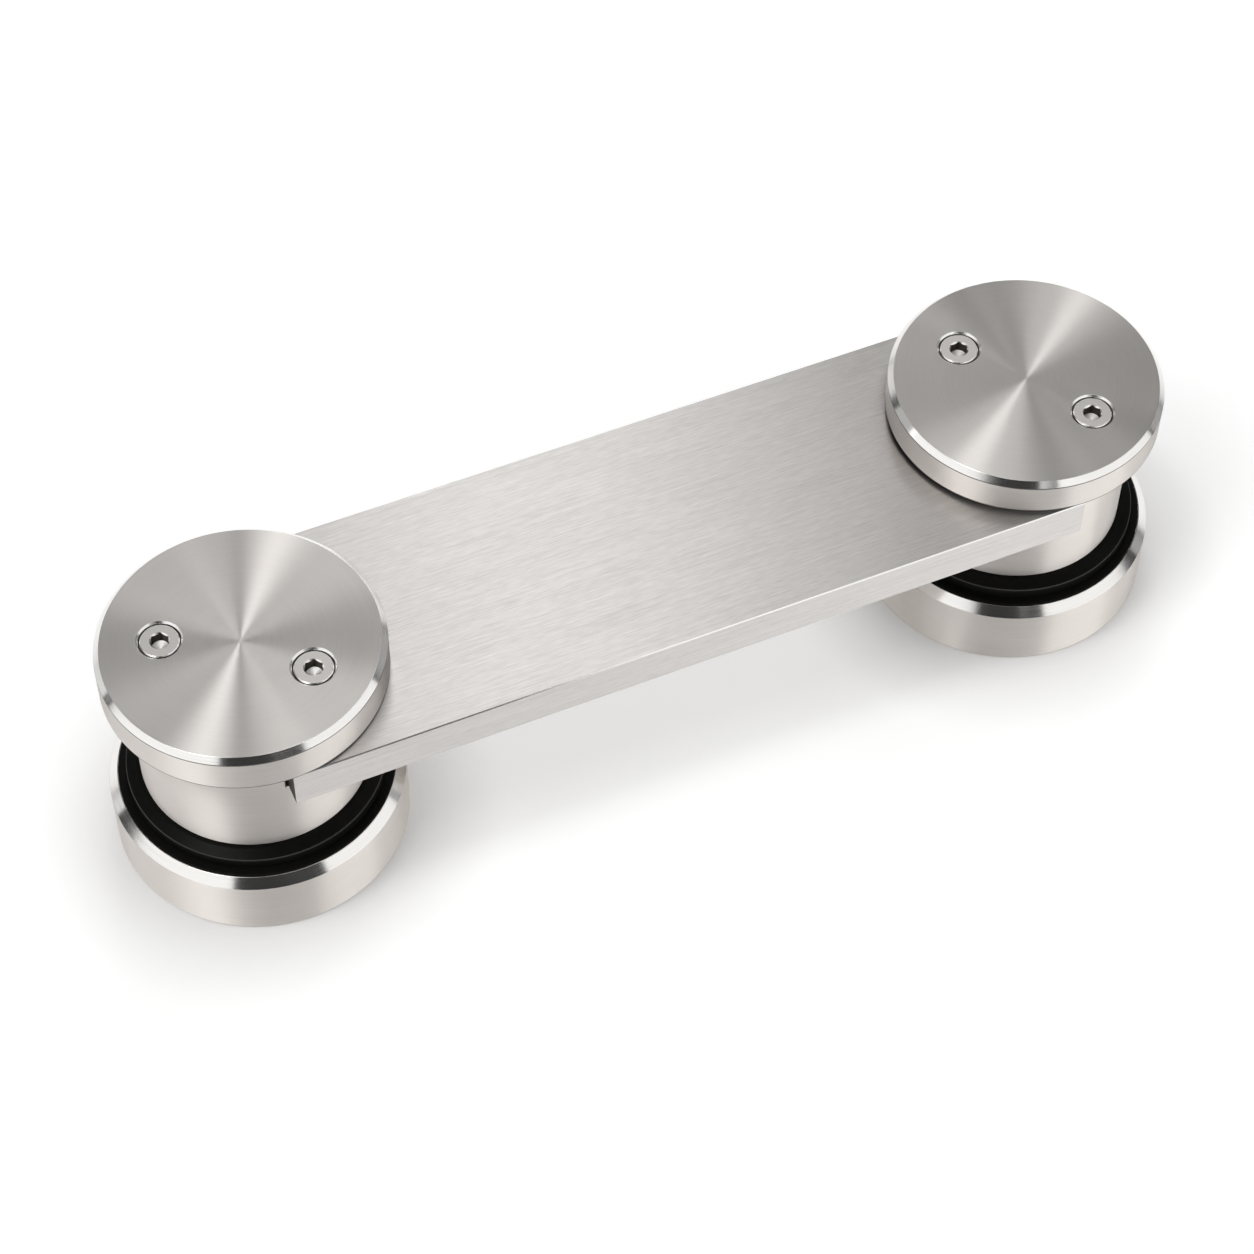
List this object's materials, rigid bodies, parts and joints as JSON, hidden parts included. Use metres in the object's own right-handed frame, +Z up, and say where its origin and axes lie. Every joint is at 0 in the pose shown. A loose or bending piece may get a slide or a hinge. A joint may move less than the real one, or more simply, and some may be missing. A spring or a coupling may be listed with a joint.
{
  "type": "glass panel connector",
  "caption": "Flat steel bar joining round standoff clamps, each gripping a glass panel between rubber gaskets with a disc that screws up to tighten.",
  "frame": {"origin": "on the floor, midway between the axes of the two clamps", "axes": "+X along the bar to the right clamp, +Y across the bar to its back, +Z up from the clamp discs to the caps"},
  "size_m": [0.203, 0.053, 0.0495],
  "materials": {
    "bar_steel": "brushed along the bar",
    "cap_steel": "turned, with fine rings",
    "boss_steel": "satin, turned",
    "disc_steel": "satin, turned",
    "screw_steel": "bright",
    "gasket_rubber": "matt black",
    "bush_plastic": "natural white"
  },
  "bodies": {
    "frame": {"connecting_bar": "bar_steel", "left_cap": "cap_steel", "left_shoulder_screw": "screw_steel", "left_bar_screw": "screw_steel", "left_boss": "boss_steel", "left_bush": "bush_plastic", "left_upper_gasket": "gasket_rubber", "right_cap": "cap_steel", "right_shoulder_screw": "screw_steel", "right_bar_screw": "screw_steel", "right_boss": "boss_steel", "right_bush": "bush_plastic", "right_upper_gasket": "gasket_rubber"},
    "left_pressure_seat": {"left_lower_gasket": "gasket_rubber"},
    "left_clamp": {"left_clamp_disc": "disc_steel", "left_stud": "screw_steel"},
    "right_pressure_seat": {"right_lower_gasket": "gasket_rubber"},
    "right_clamp": {"right_clamp_disc": "disc_steel", "right_stud": "screw_steel"}
  },
  "joints": [
    {"name": "left_clamp_travel", "type": "slide", "parent": "frame", "child": "left_pressure_seat", "axis": [0, 0, -1], "range_m": [0, 0.009]},
    {"name": "left_clamp_turn", "type": "hinge", "parent": "left_pressure_seat", "child": "left_clamp", "pos_m": [-0.075, 0, 0.007], "axis": [0, 0, -1], "range_deg": [0, 2160]},
    {"name": "right_clamp_travel", "type": "slide", "parent": "frame", "child": "right_pressure_seat", "axis": [0, 0, -1], "range_m": [0, 0.009]},
    {"name": "right_clamp_turn", "type": "hinge", "parent": "right_pressure_seat", "child": "right_clamp", "pos_m": [0.075, 0, 0.007], "axis": [0, 0, -1], "range_deg": [0, 2160]}
  ],
  "couplings": [
    {"joint": "left_clamp_travel", "follows": "left_clamp_turn", "m_per_rad": 0.00023873},
    {"joint": "right_clamp_travel", "follows": "right_clamp_turn", "m_per_rad": 0.00023873}
  ]
}
